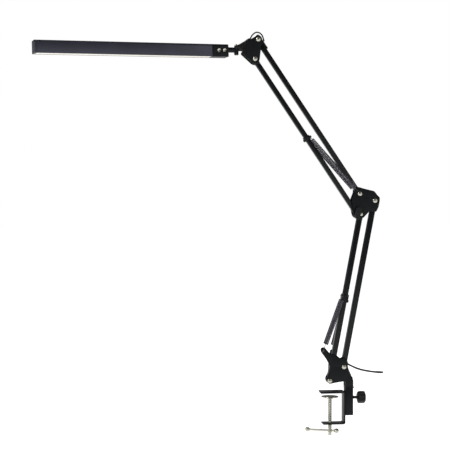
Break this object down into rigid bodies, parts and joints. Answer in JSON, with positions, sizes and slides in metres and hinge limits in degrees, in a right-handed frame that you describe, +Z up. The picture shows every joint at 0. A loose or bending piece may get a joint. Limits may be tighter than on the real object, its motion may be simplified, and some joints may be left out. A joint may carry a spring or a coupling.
{
  "type": "desk lamp",
  "caption": "Desk lamp: screw clamp, swivelling base bracket, sprung parallelogram arm with an elbow, and a slim light bar on a jointed neck",
  "frame": {"origin": "On the clamp screw's axis, on the underside of the top jaw's pad, which rests on the desk", "axes": "+Z up, the arm works in the XZ plane with the clamp's open side and the lamp head towards -X, +Y completes the right-handed frame"},
  "size_m": [0.7275, 0.2098, 0.834],
  "materials": {
    "black_steel": "satin black powder coat",
    "black_tube": "satin black enamel",
    "black_plastic": "fine-grained black nylon",
    "rubber": "matt black rubber",
    "cable": "satin black cable sheath",
    "steel": "bright nickel plate",
    "spring_steel": "dark oiled spring wire",
    "anodised": "dark anodised, fine drawn grain",
    "diffuser": "frosted cream acrylic",
    "board": "white solder mask"
  },
  "bodies": {
    "clamp": {"clamp_frame": "black_steel", "jaw_pad": "rubber", "post_socket": "black_steel"},
    "lock_knob": {"lock_knob": "black_plastic"},
    "foot": {"swivel_foot": "steel"},
    "screw": {"clamp_screw": "steel"},
    "handle": {"tommy_bar": "steel"},
    "base_bracket": {"base_neck": "black_steel", "base_plate_front": "black_steel", "base_plate_rear": "black_steel", "base_bolt_right": "steel", "base_bolt_left": "steel", "cable_gland": "black_plastic", "power_cord": "cable", "cord_coil": "cable", "cord_tie": "rubber", "cord_plug": "black_plastic"},
    "lower_right": {"lower_right_tube": "black_tube", "lower_right_foot_end": "black_plastic", "lower_right_top_end": "black_plastic"},
    "lower_left": {"lower_left_tube": "black_tube", "lower_left_foot_end": "black_plastic", "lower_left_top_end": "black_plastic", "lower_spring_clip": "black_steel", "lower_spring_front": "spring_steel", "lower_spring_rear": "spring_steel"},
    "elbow": {"elbow_plate_front": "black_steel", "elbow_plate_rear": "black_steel", "elbow_bolt_lower_right": "steel", "elbow_bolt_lower_left": "steel", "elbow_bolt_upper_right": "steel", "elbow_bolt_upper_left": "steel"},
    "elbow_knob": {"elbow_knob": "black_plastic"},
    "upper_right": {"upper_right_tube": "black_tube", "upper_right_foot_end": "black_plastic", "upper_right_top_end": "black_plastic"},
    "upper_left": {"upper_left_tube": "black_tube", "upper_left_foot_end": "black_plastic", "upper_left_top_end": "black_plastic", "upper_spring_clip": "black_steel", "upper_spring_front": "spring_steel", "upper_spring_rear": "spring_steel"},
    "head_bracket": {"head_plate_front": "black_steel", "head_plate_rear": "black_steel", "head_bolt_upper": "steel", "head_bolt_lower": "steel", "swivel_block": "black_steel", "head_cable": "cable"},
    "barrel": {"swivel_barrel": "black_plastic", "hinge_screw": "steel"},
    "neck": {"neck_stud": "black_steel"},
    "lamp_head": {"switch_cap": "black_plastic", "head_housing": "anodised", "outer_end_cap": "black_plastic", "led_board": "board", "diffuser": "diffuser"},
    "power_button": {"power_button": "steel"},
    "colour_button": {"colour_button": "steel"}
  },
  "joints": [
    {"name": "base_swivel", "type": "hinge", "parent": "clamp", "child": "base_bracket", "pos_m": [0.03925, 0, 0], "axis": [0, 0, 1], "continuous": true},
    {"name": "lock_knob_turn", "type": "hinge", "parent": "clamp", "child": "lock_knob", "pos_m": [0.06, 0, -0.01], "axis": [1, 0, 0], "range_deg": [-720, 20]},
    {"name": "foot_lift", "type": "slide", "parent": "clamp", "child": "foot", "axis": [0, 0, 1], "range_m": [-0.047, 0.0065]},
    {"name": "clamp_screw_turn", "type": "hinge", "parent": "foot", "child": "screw", "pos_m": [0, 0, -0.05], "axis": [0, 0, 1], "range_deg": [-13550, 1880]},
    {"name": "handle_slide", "type": "slide", "parent": "screw", "child": "handle", "axis": [0.9205, -0.3907, 0], "range_m": [-0.0045, 0.038]},
    {"name": "lower_arm_tilt", "type": "hinge", "parent": "base_bracket", "child": "lower_right", "pos_m": [0.028, 0, 0.0545], "axis": [0, 1, 0], "range_deg": [-45, 9]},
    {"name": "lower_left_tilt", "type": "hinge", "parent": "base_bracket", "child": "lower_left", "pos_m": [-0.00174, 0, 0.02628], "axis": [0, 1, 0], "range_deg": [-45.5, 9.5], "deforming": ["lower_spring_front", "lower_spring_rear"]},
    {"name": "elbow_level", "type": "hinge", "parent": "lower_right", "child": "elbow", "pos_m": [0.09347, 0, 0.39934], "axis": [0, 1, 0], "range_deg": [-9.5, 45.5]},
    {"name": "upper_arm_tilt", "type": "hinge", "parent": "elbow", "child": "upper_right", "pos_m": [0.06147, 0, 0.41364], "axis": [0, 1, 0], "range_deg": [-60, 14]},
    {"name": "upper_left_tilt", "type": "hinge", "parent": "elbow", "child": "upper_left", "pos_m": [0.05513, 0, 0.37364], "axis": [0, 1, 0], "range_deg": [-60.5, 14.5], "deforming": ["upper_spring_front", "upper_spring_rear"]},
    {"name": "elbow_knob_turn", "type": "hinge", "parent": "elbow", "child": "elbow_knob", "pos_m": [0.05513, 0, 0.37364], "axis": [0, 1, 0], "range_deg": [-360, 60]},
    {"name": "head_level", "type": "hinge", "parent": "upper_right", "child": "head_bracket", "pos_m": [-0.15213, 0, 0.72913], "axis": [0, 1, 0], "range_deg": [-14.5, 60.5], "deforming": ["head_cable"]},
    {"name": "head_swivel", "type": "hinge", "parent": "head_bracket", "child": "barrel", "pos_m": [-0.196, 0, 0.7073], "axis": [0.866, 0, 0.5], "range_deg": [-90, 90]},
    {"name": "head_yaw", "type": "hinge", "parent": "barrel", "child": "neck", "pos_m": [-0.196, 0, 0.7073], "axis": [0, 0, 1], "range_deg": [-60, 60]},
    {"name": "head_roll", "type": "hinge", "parent": "neck", "child": "lamp_head", "pos_m": [-0.196, 0, 0.7073], "axis": [-0.9698, -0.2418, -0.0305], "range_deg": [-90, 90]},
    {"name": "power_button_press", "type": "slide", "parent": "lamp_head", "child": "power_button", "axis": [-0.2419, 0.9703, 0], "range_m": [0, 0.0008], "stiffness_N_per_m": 600, "springref_m": -0.001},
    {"name": "colour_button_press", "type": "slide", "parent": "lamp_head", "child": "colour_button", "axis": [-0.2419, 0.9703, 0], "range_m": [0, 0.0008], "stiffness_N_per_m": 600, "springref_m": -0.001}
  ],
  "couplings": [
    {"joint": "clamp_screw_turn", "follows": "foot_lift", "rad_per_m": 5026.5},
    {"joint": "lower_left_tilt", "follows": "lower_arm_tilt", "ratio": 1},
    {"joint": "elbow_level", "follows": "lower_arm_tilt", "ratio": -1},
    {"joint": "upper_left_tilt", "follows": "upper_arm_tilt", "ratio": 1},
    {"joint": "head_level", "follows": "upper_arm_tilt", "ratio": -1}
  ]
}
